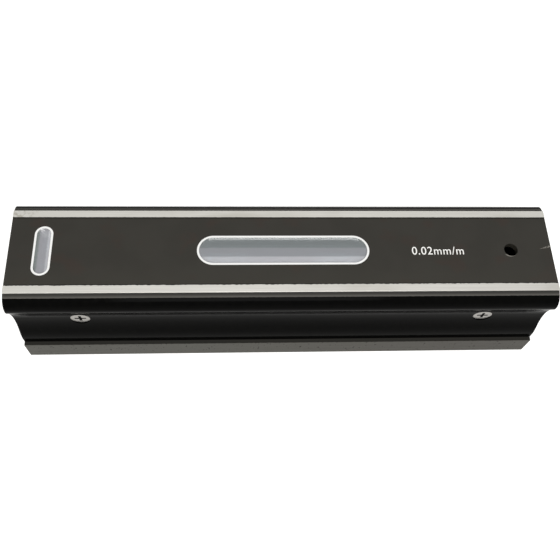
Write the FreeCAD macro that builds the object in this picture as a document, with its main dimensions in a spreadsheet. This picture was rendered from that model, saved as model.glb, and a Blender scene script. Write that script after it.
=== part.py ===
import FreeCAD, Part
import math
import os
import re
import Sketcher
from FreeCAD import Placement, Rotation, Vector

# Precision bar level, 200 mm, 0.02 mm in a metre for each division of the main vial.
# Frame: X along the bar, Z up, origin in the middle of the ground base. Millimetres.

doc = FreeCAD.newDocument("machinist_level")
sheet = doc.addObject("Spreadsheet::Sheet", "Sizes")

sizes = [
    # the casting's outside
    ("body_len", 200, "casting, end to end"),
    ("body_high", 45, "base to the ground top strips"),
    ("base_wide", 46.8, "over the two ground sides of the foot"),
    ("foot_high", 11.3, "ground side of the foot, up to its ledge"),
    ("base_edge", 0.7, "chamfer along the base"),
    ("skirt_wide", 43.6, "painted side just above the foot"),
    ("skirt_high", 13, "where the side leaves the vertical"),
    ("skirt_r", 20, "round from the skirt into the waist"),
    ("waist_wide", 38.5, "narrowest width"),
    ("waist_high", 29, "height of the narrowest width"),
    ("crown_wide", 43, "widest width of the rounded shoulders"),
    ("crown_high", 38.8, "height of that width"),
    ("crown_r", 5.7, "round of each shoulder"),
    ("strip_wide", 2.95, "each ground strip on top"),
    ("strip_edge", 0.15, "broken edge of a ground strip"),
    ("groove_wide", 22, "vee groove at the base"),
    ("groove_angle", 120, "between the groove's two faces"),
    ("relief_wide", 2, "slot at the bottom of the groove"),
    ("relief_deep", 1.3, "depth of that slot"),
    # the casting's inside
    ("cavity_wide", 22, "milled pocket for the vials"),
    ("cavity_floor", 14, "height of the pocket's floor"),
    ("end_wall", 6, "iron left at each end of the pocket"),
    ("cavity_r", 4, "cutter radius in the pocket's corners"),
    ("boss_r", 6, "boss under the adjusting screw"),
    ("boss_high", 5, "boss above the pocket's floor"),
    # the cover
    ("cover_wide", 27.8, "cover plate, between the ground strips"),
    ("cover_thick", 2.5, "cover plate"),
    ("cover_drop", 0.2, "cover's face below the ground strips"),
    ("cover_gap", 0.05, "fit of the cover in its seat, each side"),
    ("lug_len", 10, "cover lug along the bar"),
    ("lug_thick", 4.4, "cover lug across the bar"),
    ("lug_gap", 0.2, "cover lug to the pocket's wall"),
    ("lug_below", 6, "cover lug below the side screws"),
    # windows
    ("main_in", 99.2, "left end to the middle of the main window"),
    ("main_len", 63.4, "main window over its bezel"),
    ("main_wide", 12, "main window over its bezel"),
    ("cross_in", 12.1, "left end to the middle of the cross window"),
    ("cross_len", 20, "cross window over its bezel"),
    ("cross_wide", 6.6, "cross window over its bezel"),
    ("bezel_wall", 0.75, "wall of both bezels"),
    ("bezel_high", 0.9, "height of both bezels"),
    ("pane_thick", 1, "glass panes"),
    ("seat_gap", 0.03, "bezels and panes in their seats"),
    # side screws
    ("screw_in", 24, "each end to its side screws"),
    ("screw_high", 27.5, "height of the side screws"),
    ("screw_head", 7.1, "countersunk head of the side screws"),
    ("screw_dia", 4, "thread of the side screws"),
    ("screw_len", 12, "length of the side screws"),
    ("recess_wide", 4.2, "cross recess, over its arms"),
    ("recess_arm", 1, "width of an arm of the recess"),
    ("recess_deep", 1.6, "depth of the recess"),
    ("hole_gap", 0.25, "clearance hole over a thread"),
    ("thread_gap", 0.05, "tapped hole over its screw"),
    ("hole_run", 0.5, "tapped hole beyond its screw's tip"),
    ("lap", 1, "one shape of a piece run into the next"),
    ("head_gap", 0.05, "countersink over its head"),
    ("head_sunk", 0.1, "side screw heads below the waist"),
    # main vial
    ("vial_dia", 12.4, "outside of the main vial"),
    ("vial_bore", 9.2, "ground bore of the main vial"),
    ("vial_len", 84, "main vial"),
    ("vial_room", 1.5, "main vial to the cover"),
    ("plug_len", 4, "plugs that close both vials"),
    ("bubble_len", 25, "bubble of the main vial"),
    ("bubble_deep", 1.7, "depth of the main bubble"),
    ("bubble_gap", 0.3, "bubble to glass and to spirit"),
    # vial carrier
    ("carrier_wide", 15, "carrier block"),
    ("carrier_len", 96, "carrier block"),
    ("carrier_low", 24, "underside of the carrier"),
    ("trough_gap", 0.25, "vial in its trough"),
    ("arm_wide", 9, "carrier arm and hinge lug"),
    ("arm_high", 6, "thickness of the arm"),
    ("arm_past", 6.5, "arm beyond the adjusting screw"),
    ("clip_at", 37, "vial clips from the vial's middle"),
    ("clip_len", 6, "width of the spring strip"),
    ("clip_thick", 0.6, "thickness of the spring strip"),
    ("clip_hook", 2, "hook of a clip under the carrier"),
    # pivot
    ("pivot_in", 41, "left end to the pivot pin"),
    ("pivot_high", 27, "height of the pivot pin"),
    ("pivot_dia", 3, "pivot pin"),
    ("run_gap", 0.04, "running fit of the pivot"),
    ("cheek_thick", 2.6, "cheeks of the pivot bracket"),
    ("cheek_gap", 0.3, "carrier lug between the cheeks"),
    ("cheek_r", 4.5, "rounded top of a cheek"),
    ("bracket_thick", 2.5, "foot of the pivot bracket"),
    ("bracket_len", 19, "foot of the pivot bracket"),
    # adjusting screw
    ("adjust_in", 15.5, "right end to the adjusting screw"),
    ("adjust_dia", 4, "fine thread of the adjusting screw"),
    ("adjust_len", 19, "adjusting screw under its head"),
    ("adjust_head", 6.8, "head of the adjusting screw"),
    ("head_high", 2.6, "height of that head"),
    ("slot_wide", 0.9, "screwdriver slot"),
    ("slot_deep", 1.2, "screwdriver slot"),
    ("slot_turn", 25, "degrees the slots stand off the bar's line"),
    ("access_dia", 5.2, "hole in the cover over the adjusting screw"),
    ("play", 0.3, "carrier to the screw's head and shank"),
    ("seal_dia", 3, "drop of sealing lacquer on the head"),
    ("seal_high", 0.5, "height of that drop"),
    ("wire_wide", 0.8, "adjusting spring's square wire"),
    ("coil_dia", 6.6, "adjusting spring, middle of the wire"),
    ("coil_turns", 2, "turns of the adjusting spring"),
    # cross vial
    ("cvial_dia", 8, "outside of the cross vial"),
    ("cvial_bore", 5.8, "bore of the cross vial"),
    ("cvial_gap", 0.7, "cross vial to the pocket's walls"),
    ("cvial_room", 0.6, "cross vial to the cover"),
    ("cplug_len", 2, "plugs of the cross vial"),
    ("cbubble_len", 6, "bubble of the cross vial"),
    ("cbubble_deep", 1.3, "depth of the cross bubble"),
    ("holder_len", 10.8, "cross vial holder along the bar"),
    ("holder_gap", 0.2, "cross vial holder to the pocket's walls"),
    ("holder_foot", 2.5, "thickness of the holder's foot"),
    ("foot_len", 8, "the holder's foot along the bar"),
    ("foot_wide", 11.6, "the holder's foot across the bar"),
    ("m3_dia", 3, "thread of the inner fixing screws"),
    ("m3_head", 5, "head of the inner fixing screws"),
    ("m3_high", 2, "height of those heads"),
    ("m3_len", 6.5, "length of the inner fixing screws"),
    ("m3_slot", 0.6, "slot in those heads"),
    ("m3_slot_deep", 0.9, "depth of that slot"),
    ("m3_apart", 6, "between the holder's two screws"),
]
for row, (alias, value, note) in enumerate(sizes, start=1):
    sheet.set(f"A{row}", note)
    sheet.set(f"B{row}", str(value))
    sheet.setAlias(f"B{row}", alias)
doc.recompute()
aliases = {alias for alias, value, note in sizes}

# Lengths that several pieces share, each worked out from the sizes above.
shared = {
    "main_at": "(main_in - body_len / 2)",
    "cross_at": "(cross_in - body_len / 2)",
    "pivot_at": "(pivot_in - body_len / 2)",
    "adjust_at": "(body_len / 2 - adjust_in)",
    "screw_at": "(body_len / 2 - screw_in)",
    "cvial_len": "(cavity_wide - 2 * cvial_gap)",
    "cover_top": "(body_high - cover_drop)",
    "cover_low": "(body_high - cover_drop - cover_thick)",
    "pane_low": "(body_high - bezel_high - pane_thick)",
    "vial_high": "(body_high - cover_drop - cover_thick - vial_room - vial_dia / 2)",
    "cvial_high": "(body_high - cover_drop - cover_thick - cvial_room - cvial_dia / 2)",
    "spirit_top": "(vial_bore / 2 - bubble_gap - bubble_deep)",
    "cspirit_top": "(cvial_bore / 2 - bubble_gap - cbubble_deep)",
    "lug_side": "(cavity_wide / 2 - lug_gap)",
    "carrier_left": "(main_at - carrier_len / 2)",
    "carrier_right": "(main_at + carrier_len / 2)",
    "arm_top": "(carrier_low + arm_high)",
    "boss_top": "(cavity_floor + boss_high)",
    "cheek_in": "(arm_wide / 2 + cheek_gap)",
    "cheek_out": "(arm_wide / 2 + cheek_gap + cheek_thick)",
    "bracket_left": "(pivot_at + cheek_r - bracket_len)",
    "holder_left": "(cross_at - holder_len / 2)",
    "holder_right": "(cross_at + holder_len / 2)",
    "screw_face": "(waist_wide / 2 - head_sunk)",
}
fixing_spots = {
    "holder_near": ("cross_at + holder_len / 2 + foot_len / 2", "0 - m3_apart / 2"),
    "holder_far": ("cross_at + holder_len / 2 + foot_len / 2", "m3_apart / 2"),
    "bracket": ("(bracket_left + pivot_at - cheek_r) / 2", "0"),
}


def formula(text):
    """Turn a formula in plain names into one that reads the sheet."""
    for name in reversed(shared):
        text = re.sub(rf"\b{name}\b", shared[name], text)
    return re.sub(r"[a-z]\w*", lambda word: f"Sizes.{word[0]}" if word[0] in aliases else word[0], text)


def measure(text):
    """The value of a formula now, in millimetres."""
    value = sheet.evalExpression(formula(text))
    return float(getattr(value, "Value", value))


def new_body(name):
    body = doc.addObject("PartDesign::Body", name)
    body.Label = name
    return body


def new_sketch(body, name, plane="XY_Plane", at="0"):
    """A sketch on one of the body's own origin planes, moved off it by a formula."""
    sketch = body.newObject("Sketcher::SketchObject", name)
    origin_plane = next(item for item in body.Origin.OriginFeatures if item.Role == plane)
    sketch.AttachmentSupport = [(origin_plane, "")]
    sketch.MapMode = "FlatFace"
    if at != "0":
        sketch.setExpression("AttachmentOffset.Base.z", formula(at))
    return sketch


def hold(sketch, geo, point, along, text):
    """Hold one point of a sketch at a formula along X or Y."""
    if text == "0":
        sketch.addConstraint(Sketcher.Constraint("PointOnObject", geo, point, -2 if along == "X" else -1))
        return
    limit = Sketcher.Constraint(f"Distance{along}", -1, 1, geo, point, measure(text))
    sketch.setExpression(f"Constraints[{sketch.addConstraint(limit)}]", formula(text))


def hold_radius(sketch, geo, text):
    limit = Sketcher.Constraint("Radius", geo, measure(text))
    sketch.setExpression(f"Constraints[{sketch.addConstraint(limit)}]", formula(text))


def draw_outline(sketch, corners):
    """A closed outline of straight lines through corners given as formulas."""
    first = sketch.GeometryCount
    count = len(corners)
    spots = [Vector(measure(x), measure(y), 0) for x, y in corners]
    for index in range(count):
        sketch.addGeometry(Part.LineSegment(spots[index], spots[(index + 1) % count]))
    for index in range(count):
        nxt = first + (index + 1) % count
        sketch.addConstraint(Sketcher.Constraint("Coincident", first + index, 2, nxt, 1))
    for index, (x, y) in enumerate(corners):
        hold(sketch, first + index, 1, "X", x)
        hold(sketch, first + index, 1, "Y", y)


def draw_box(sketch, left, right, low, high):
    draw_outline(sketch, [(left, low), (right, low), (right, high), (left, high)])


def draw_circle(sketch, x, y, radius):
    centre = Vector(measure(x), measure(y), 0)
    geo = sketch.addGeometry(Part.Circle(centre, Vector(0, 0, 1), measure(radius)))
    hold(sketch, geo, 3, "X", x)
    hold(sketch, geo, 3, "Y", y)
    hold_radius(sketch, geo, radius)


def draw_slot(sketch, middle, length, radius, along="X"):
    """An obround about (middle, 0), its length along X or Y."""
    far = measure(length) / 2 - measure(radius)
    run = Vector(1, 0, 0) if along == "X" else Vector(0, 1, 0)
    side = Vector(0, 1, 0) if along == "X" else Vector(-1, 0, 0)
    centre = Vector(measure(middle), 0, 0)
    reach = measure(radius)
    ends = [centre - run * far, centre + run * far]
    tips = [ends[0] - run * reach, ends[1] + run * reach]
    upper = [ends[0] + side * reach, ends[1] + side * reach]
    lower = [ends[0] - side * reach, ends[1] - side * reach]
    start = sketch.addGeometry(Part.Arc(upper[0], tips[0], lower[0]))
    low_line = sketch.addGeometry(Part.LineSegment(lower[0], lower[1]))
    end = sketch.addGeometry(Part.Arc(lower[1], tips[1], upper[1]))
    high_line = sketch.addGeometry(Part.LineSegment(upper[1], upper[0]))
    for geo, nxt in ((start, low_line), (low_line, end), (end, high_line), (high_line, start)):
        sketch.addConstraint(Sketcher.Constraint("Tangent", geo, 2, nxt, 1))
    for geo, sign in ((start, "-"), (end, "+")):
        offset = f"({length}) / 2 - ({radius})"
        if along == "X":
            hold(sketch, geo, 3, "X", f"{middle} {sign} ({offset})")
            hold(sketch, geo, 3, "Y", "0")
        else:
            hold(sketch, geo, 3, "X", middle)
            hold(sketch, geo, 3, "Y", f"0 {sign} ({offset})")
        hold_radius(sketch, geo, radius)


def add_pad(body, sketch, length, midplane=False, reverse=False):
    pad = body.newObject("PartDesign::Pad", f"{sketch.Name}_pad")
    pad.Profile = sketch
    pad.setExpression("Length", formula(length))
    pad.Midplane = midplane
    pad.Reversed = reverse
    doc.recompute()
    return pad


def cut_pocket(body, sketch, length="", midplane=False, reverse=False):
    """A pocket of the given depth, or right through; it must take some material away."""
    before = body.Shape.Volume
    pocket = body.newObject("PartDesign::Pocket", f"{sketch.Name}_cut")
    pocket.Profile = sketch
    if length:
        pocket.setExpression("Length", formula(length))
    else:
        pocket.Type = "ThroughAll"
    pocket.Midplane = midplane
    pocket.Reversed = reverse
    doc.recompute()
    if body.Shape.Volume > before - 0.01:
        raise ValueError(f"{pocket.Name} cuts nothing")
    return pocket


def spin(body, sketch, kind="PartDesign::Revolution"):
    """Turn a sketch right round its own vertical axis, adding or cutting."""
    feature = body.newObject(kind, f"{sketch.Name}_turn")
    feature.Profile = sketch
    feature.ReferenceAxis = (sketch, ["V_Axis"])
    feature.Angle = 360
    doc.recompute()
    return feature


def mirror_plane(body, feature, plane):
    copy = body.newObject("PartDesign::Mirrored", f"{feature.Name}_{plane[:2]}")
    origin_plane = next(item for item in body.Origin.OriginFeatures if item.Role == plane)
    copy.MirrorPlane = (origin_plane, [""])
    return copy


def mirror(body, feature, plane):
    """Repeat a feature across one of the body's origin planes."""
    copy = mirror_plane(body, feature, plane)
    copy.Originals = [feature]
    body.Tip = copy
    doc.recompute()


def mirror_both(body, feature):
    """Repeat a feature across the lengthwise and the crosswise middle planes."""
    across = mirror_plane(body, feature, "XZ_Plane")
    along = mirror_plane(body, feature, "YZ_Plane")
    copy = body.newObject("PartDesign::MultiTransform", f"{feature.Name}_four")
    copy.Originals = [feature]
    copy.Transformations = [across, along]
    body.Tip = copy
    doc.recompute()


def round_corners(body, radius, x, y, ends=(-1, 1)):
    """Round the upright edges that stand at plus and minus x and y."""
    base = body.Tip
    spots = [(end * measure(x), side * measure(y)) for end in ends for side in (-1, 1)]
    edges = []
    for number, edge in enumerate(body.Shape.Edges, start=1):
        low, high = edge.firstVertex().Point, edge.lastVertex().Point
        upright = math.hypot(high.x - low.x, high.y - low.y) < 0.001
        if upright and any(math.hypot(low.x - spot[0], low.y - spot[1]) < 0.001 for spot in spots):
            edges.append(f"Edge{number}")
    fillet = body.newObject("PartDesign::Fillet", f"{base.Name}_corners")
    fillet.Base = (base, edges)
    fillet.setExpression("Radius", formula(radius))
    doc.recompute()


def place(body, x="0", y="0", z="0", turn=None):
    """Set a body down at formulas, after turning it about an axis by an angle."""
    if turn:
        body.Placement = Placement(Vector(), Rotation(*turn))
    for letter, text in (("x", x), ("y", y), ("z", z)):
        if text != "0":
            body.setExpression(f"Placement.Base.{letter}", formula(text))
    doc.recompute()


def turned(name, corners):
    """A turned piece: corners are (radius, height) formulas, spun about local Z."""
    body = new_body(name)
    sketch = new_sketch(body, f"{name}_section", "XZ_Plane")
    draw_outline(sketch, corners)
    spin(body, sketch)
    return body


# ---------------------------------------------------------------- casting

def casting_side(sketch):
    """Half of the casting's section: ground foot, skirt, waist, shoulder and top strip."""
    groove_top = "(groove_wide / 2 - relief_wide / 2) / tan(groove_angle * 1 deg / 2)"
    strip_out = "cover_wide / 2 + strip_wide"
    shoulder_rise = f"sqrt(crown_r ^ 2 - ({strip_out} - crown_wide / 2 + crown_r) ^ 2)"
    corners = {
        "axis_low": ("0", f"{groove_top} + relief_deep"),
        "relief_up": ("relief_wide / 2", f"{groove_top} + relief_deep"),
        "relief_low": ("relief_wide / 2", groove_top),
        "groove_edge": ("groove_wide / 2", "0"),
        "base_in": ("base_wide / 2 - base_edge", "0"),
        "base_out": ("base_wide / 2", "base_edge"),
        "foot_top": ("base_wide / 2", "foot_high"),
        "skirt_low": ("skirt_wide / 2", "foot_high"),
        "skirt_top": ("skirt_wide / 2", "skirt_high"),
        "waist": ("waist_wide / 2", "waist_high"),
        "shoulder": (strip_out, f"crown_high + {shoulder_rise}"),
        "strip_low": (strip_out, "body_high - strip_edge"),
        "strip_top": (f"{strip_out} - strip_edge", "body_high"),
        "seat_top": ("cover_wide / 2", "body_high"),
        "seat_low": ("cover_wide / 2", "cover_low"),
        "axis_top": ("0", "cover_low"),
    }
    spot = {name: Vector(measure(x), measure(y), 0) for name, (x, y) in corners.items()}
    names = list(corners)
    lines = {}
    for start, end in zip(names, names[1:] + names[:1]):
        if start not in ("skirt_top", "waist"):
            lines[start] = sketch.addGeometry(Part.LineSegment(spot[start], spot[end]))

    def arc(centre, radius, start_angle, end_angle):
        circle = Part.Circle(centre, Vector(0, 0, 1), radius)
        return sketch.addGeometry(Part.ArcOfCircle(circle, start_angle, end_angle))

    # Four tangent rounds: skirt (out), lower and upper waist (in), shoulder (out).
    skirt_r = measure("skirt_r")
    crown_r = measure("crown_r")
    skirt_centre = spot["skirt_top"] - Vector(skirt_r, 0, 0)
    crown_centre = Vector(measure("crown_wide / 2 - crown_r"), measure("crown_high"), 0)
    waist_rs = []
    for centre, radius in ((skirt_centre, skirt_r), (crown_centre, crown_r)):
        gap = spot["waist"] - centre
        waist_rs.append((gap.Length ** 2 - radius ** 2) / (2 * (radius - gap.x)))
    lower_centre = spot["waist"] + Vector(waist_rs[0], 0, 0)
    upper_centre = spot["waist"] + Vector(waist_rs[1], 0, 0)
    low_lean = math.atan2(lower_centre.y - skirt_centre.y, lower_centre.x - skirt_centre.x)
    high_lean = math.atan2(crown_centre.y - upper_centre.y, upper_centre.x - crown_centre.x)
    rise = spot["shoulder"] - crown_centre
    skirt = arc(skirt_centre, skirt_r, 0, low_lean)
    lower = arc(lower_centre, waist_rs[0], math.pi, math.pi + low_lean)
    upper = arc(upper_centre, waist_rs[1], math.pi - high_lean, math.pi)
    crown = arc(crown_centre, crown_r, -high_lean, math.atan2(rise.y, rise.x))

    join = sketch.addConstraint
    join(Sketcher.Constraint("Coincident", lines["skirt_low"], 2, skirt, 1))
    join(Sketcher.Constraint("Tangent", skirt, 2, lower, 2))
    join(Sketcher.Constraint("Tangent", lower, 1, upper, 2))
    join(Sketcher.Constraint("Tangent", upper, 1, crown, 1))
    join(Sketcher.Constraint("Coincident", crown, 2, lines["shoulder"], 1))
    for start, end in zip(names, names[1:] + names[:1]):
        if start in lines and end in lines:
            join(Sketcher.Constraint("Coincident", lines[start], 2, lines[end], 1))
    for name, geo in lines.items():
        hold(sketch, geo, 1, "X", corners[name][0])
        if name != "shoulder":
            hold(sketch, geo, 1, "Y", corners[name][1])
    hold(sketch, skirt, 1, "X", "skirt_wide / 2")
    hold(sketch, skirt, 1, "Y", "skirt_high")
    hold(sketch, skirt, 3, "Y", "skirt_high")
    hold_radius(sketch, skirt, "skirt_r")
    hold(sketch, lower, 1, "X", "waist_wide / 2")
    hold(sketch, lower, 1, "Y", "waist_high")
    hold(sketch, lower, 3, "Y", "waist_high")
    hold(sketch, crown, 3, "X", "crown_wide / 2 - crown_r")
    hold(sketch, crown, 3, "Y", "crown_high")
    hold_radius(sketch, crown, "crown_r")


def make_casting():
    body = new_body("body_casting")
    side = new_sketch(body, "casting_side", "YZ_Plane")
    casting_side(side)
    half = add_pad(body, side, "body_len", midplane=True)
    mirror(body, half, "XZ_Plane")
    # the milled pocket, round in its corners
    pocket = new_sketch(body, "vial_pocket", "XY_Plane", "cover_low")
    end = "(body_len / 2 - end_wall)"
    draw_box(pocket, f"0 - {end}", end, "0 - cavity_wide / 2", "cavity_wide / 2")
    cut_pocket(body, pocket, "cover_low - cavity_floor")
    round_corners(body, "cavity_r", "body_len / 2 - end_wall", "cavity_wide / 2")
    # the boss and its tapped hole for the adjusting screw
    boss = new_sketch(body, "adjust_boss", "XY_Plane", "cavity_floor")
    draw_circle(boss, "adjust_at", "0", "boss_r")
    add_pad(body, boss, "boss_high")
    tapped = new_sketch(body, "adjust_hole", "XY_Plane", "boss_top")
    draw_circle(tapped, "adjust_at", "0", "adjust_dia / 2 + thread_gap")
    cut_pocket(body, tapped, "boss_top - (arm_top + play - adjust_len) + hole_run")
    # tapped holes in the floor for the holder and the pivot bracket
    floor = new_sketch(body, "floor_holes", "XY_Plane", "cavity_floor")
    for x, y in fixing_spots.values():
        draw_circle(floor, x, y, "m3_dia / 2 + thread_gap")
    cut_pocket(body, floor, "m3_len - holder_foot + hole_run")
    # countersunk holes for the side screws, one drawn and three mirrored
    hole = new_sketch(body, "side_hole", "XY_Plane", "screw_high")
    hole.setExpression("AttachmentOffset.Base.x", formula("screw_at"))
    head = "screw_head / 2 + head_gap"
    shank = "screw_dia / 2 + hole_gap"
    depth = f"screw_face - (({head}) - ({shank}))"
    draw_outline(hole, [("0", "lug_side - lap"), (shank, "lug_side - lap"), (shank, depth),
                        (head, "screw_face"), (head, "base_wide / 2"), ("0", "base_wide / 2")])
    mirror_both(body, spin(body, hole, "PartDesign::Groove"))
    return body


# ---------------------------------------------------------------- cover and windows

def make_cover():
    """Cover plate with two pairs of lugs that the side screws pull on."""
    body = new_body("cover_plate")
    plate = new_sketch(body, "cover_outline", "XY_Plane", "cover_low")
    side = "(cover_wide / 2 - cover_gap)"
    draw_box(plate, "0 - body_len / 2", "body_len / 2", f"0 - {side}", side)
    add_pad(body, plate, "cover_thick")
    lug = new_sketch(body, "cover_lug", "XY_Plane", "cover_low")
    draw_box(lug, "screw_at - lug_len / 2", "screw_at + lug_len / 2",
             "lug_side - lug_thick", "lug_side")
    length = "cover_low - screw_high + lug_below"
    mirror_both(body, add_pad(body, lug, length, reverse=True))
    # tapped hole through each lug
    tapped = new_sketch(body, "lug_hole", "XZ_Plane")
    draw_circle(tapped, "screw_at", "screw_high", "screw_dia / 2 + thread_gap")
    mirror(body, cut_pocket(body, tapped, midplane=True), "YZ_Plane")
    # window seats from above, then the openings right through
    seats = new_sketch(body, "window_seats", "XY_Plane", "cover_top")
    draw_slot(seats, "main_at", "main_len + 2 * seat_gap", "main_wide / 2 + seat_gap")
    draw_slot(seats, "cross_at", "cross_len + 2 * seat_gap", "cross_wide / 2 + seat_gap", "Y")
    cut_pocket(body, seats, "cover_top - pane_low")
    for name, at, length, wide, along in (("main", "main_at", "main_len", "main_wide", "X"),
                                          ("cross", "cross_at", "cross_len", "cross_wide", "Y")):
        opening = new_sketch(body, f"{name}_opening", "XY_Plane", "cover_top")
        draw_slot(opening, at, f"{length} - 2 * bezel_wall", f"{wide} / 2 - bezel_wall", along)
        cut_pocket(body, opening)
    access = new_sketch(body, "access_hole", "XY_Plane", "cover_top")
    draw_circle(access, "adjust_at", "0", "access_dia / 2")
    cut_pocket(body, access)
    return body


def make_window(name, at, length, wide, along):
    """A bezel ring standing level with the ground strips, over a glass pane."""
    bezel = new_body(f"{name}_bezel")
    ring = new_sketch(bezel, f"{name}_ring", "XY_Plane", "body_high - bezel_high")
    draw_slot(ring, at, length, f"{wide} / 2", along)
    draw_slot(ring, at, f"{length} - 2 * bezel_wall", f"{wide} / 2 - bezel_wall", along)
    add_pad(bezel, ring, "bezel_high")
    pane = new_body(f"{name}_pane")
    glass = new_sketch(pane, f"{name}_glass", "XY_Plane", "pane_low")
    draw_slot(glass, at, length, f"{wide} / 2", along)
    add_pad(pane, glass, "pane_thick")


def make_side_screw(name, x_sign, y_sign):
    """Countersunk cross-head screw, turned about Z with its head up, then laid on its side."""
    head = "screw_head / 2"
    shank = "screw_dia / 2"
    body = turned(name, [("0", "0"), (head, "0"), (shank, f"{shank} - {head}"),
                         (shank, "0 - screw_len"), ("0", "0 - screw_len")])
    recess = new_sketch(body, f"{name}_recess", "XY_Plane")
    arm = "(recess_wide / 2)"
    half = "(recess_arm / 2)"
    draw_outline(recess, [(arm, f"0 - {half}"), (arm, half), (half, half), (half, arm),
                          (f"0 - {half}", arm), (f"0 - {half}", half), (f"0 - {arm}", half),
                          (f"0 - {arm}", f"0 - {half}"), (f"0 - {half}", f"0 - {half}"),
                          (f"0 - {half}", f"0 - {arm}"), (half, f"0 - {arm}"), (half, f"0 - {half}")])
    cut_pocket(body, recess, "recess_deep")
    turn = (Vector(1, 0, 0), -90 * y_sign)
    place(body, f"{x_sign} * screw_at", f"{y_sign} * screw_face", "screw_high", turn)
    return body


def make_fixing(name, x, y, z):
    """Small cheese-head screw, slotted, head up, seated with its head's underside at z."""
    head = "m3_head / 2"
    shank = "m3_dia / 2"
    body = turned(name, [("0", "m3_high"), (head, "m3_high"), (head, "0"), (shank, "0"),
                         (shank, "0 - m3_len"), ("0", "0 - m3_len")])
    slot = new_sketch(body, f"{name}_slot", "XY_Plane", "m3_high")
    draw_box(slot, "0 - m3_head", "m3_head", "0 - m3_slot / 2", "m3_slot / 2")
    cut_pocket(body, slot, "m3_slot_deep")
    place(body, x, y, z, (Vector(0, 0, 1), measure("slot_turn")))
    return body


# ---------------------------------------------------------------- vials

def make_vial(name, dia, bore, length, plug, turn, x, z):
    """Glass tube with a plug in each end; made along local Z and laid down at (x, z)."""
    tube = new_body(f"{name}_tube")
    wall = new_sketch(tube, f"{name}_wall")
    draw_circle(wall, "0", "0", f"{dia} / 2")
    draw_circle(wall, "0", "0", f"{bore} / 2")
    add_pad(tube, wall, length, midplane=True)
    place(tube, x, "0", z, turn)
    ends = (("left", -1), ("right", 1)) if name == "main_vial" else (("near", 1), ("far", -1))
    for word, sign in ends:
        stopper = new_body(f"{name}_plug_{word}")
        face = new_sketch(stopper, f"{name}_plug_{word}_face", "XY_Plane",
                          f"{sign} * ({length} / 2 - {plug} / 2)")
        draw_circle(face, "0", "0", f"{bore} / 2 - seat_gap")
        add_pad(stopper, face, plug, midplane=True)
        place(stopper, x, "0", z, turn)


def make_filling(name, bore, top, length, turn, x, z):
    """Spirit in the bore, up to the flat under its bubble; its section lies across the vial."""
    body = new_body(f"{name}_spirit")
    radius = f"({bore} / 2 - seat_gap)"
    section = new_sketch(body, f"{name}_spirit_section", "YZ_Plane")
    half = f"sqrt({radius} ^ 2 - ({top}) ^ 2)"
    reach = measure(radius)
    wide = measure(half)
    left = Vector(-wide, measure(top), 0)
    right = Vector(wide, measure(top), 0)
    bowl = sketch_arc(section, left, Vector(0, -reach, 0), right)
    flat = section.addGeometry(Part.LineSegment(right, left))
    section.addConstraint(Sketcher.Constraint("Coincident", bowl, 2, flat, 1))
    section.addConstraint(Sketcher.Constraint("Coincident", flat, 2, bowl, 1))
    section.addConstraint(Sketcher.Constraint("Horizontal", flat))
    hold(section, bowl, 3, "X", "0")
    hold(section, bowl, 3, "Y", "0")
    hold_radius(section, bowl, radius)
    hold(section, flat, 1, "Y", top)
    add_pad(body, section, length, midplane=True)
    place(body, x, "0", z, turn)


def sketch_arc(sketch, start, middle, end):
    return sketch.addGeometry(Part.Arc(start, middle, end))


def make_bubble(name, bore, top, length, turn, x, z):
    """The bubble: the cap of the bore above the spirit, drawn in at its ends."""
    body = new_body(f"{name}_bubble")
    radius = f"({bore} / 2 - bubble_gap)"
    low = f"({top} + bubble_gap)"
    rise = f"({radius} - {low})"
    section = new_sketch(body, f"{name}_bubble_section", "XZ_Plane")
    reach = f"({length} / 2)"
    draw_outline(section, [(f"0 - {reach}", low), (reach, low), (f"{reach} - {rise}", f"{low} + {rise}"),
                           (f"{rise} - {reach}", f"{low} + {rise}")])
    add_pad(body, section, bore, midplane=True)
    round_bore = new_sketch(body, f"{name}_bubble_round", "YZ_Plane")
    draw_circle(round_bore, "0", "0", radius)
    draw_circle(round_bore, "0", "0", f"{bore} * 1.5")
    cut_pocket(body, round_bore, midplane=True)
    place(body, x, "0", z, turn)


# ---------------------------------------------------------------- carrier and hinge

def make_carrier():
    """Vial carrier: a trough for the vial, a hinge lug at one end and an arm at the other."""
    body = new_body("vial_carrier")
    block = new_sketch(body, "carrier_block", "XY_Plane", "carrier_low")
    draw_box(block, "carrier_left", "carrier_right", "0 - carrier_wide / 2", "carrier_wide / 2")
    add_pad(body, block, "vial_high - carrier_low")
    arm = new_sketch(body, "carrier_arm", "XY_Plane", "carrier_low")
    draw_box(arm, "carrier_right - lap", "adjust_at + arm_past", "0 - arm_wide / 2", "arm_wide / 2")
    add_pad(body, arm, "arm_high")
    lug = new_sketch(body, "hinge_lug", "XZ_Plane")
    draw_box(lug, "pivot_at", "carrier_left + lap", "carrier_low", "2 * pivot_high - carrier_low")
    add_pad(body, lug, "arm_wide", midplane=True)
    nose = new_sketch(body, "hinge_nose", "XZ_Plane")
    draw_circle(nose, "pivot_at", "pivot_high", "pivot_high - carrier_low")
    add_pad(body, nose, "arm_wide", midplane=True)
    # trough, pin hole and adjusting hole
    trough = new_sketch(body, "vial_trough", "YZ_Plane", "main_at")
    draw_circle(trough, "0", "vial_high", "vial_dia / 2 + trough_gap")
    cut_pocket(body, trough, "2 * carrier_len", midplane=True)
    pin = new_sketch(body, "pin_hole", "XZ_Plane")
    draw_circle(pin, "pivot_at", "pivot_high", "pivot_dia / 2 + run_gap")
    cut_pocket(body, pin, midplane=True)
    hole = new_sketch(body, "carrier_hole", "XY_Plane", "arm_top")
    draw_circle(hole, "adjust_at", "0", "adjust_dia / 2 + play")
    cut_pocket(body, hole)
    return body


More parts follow.
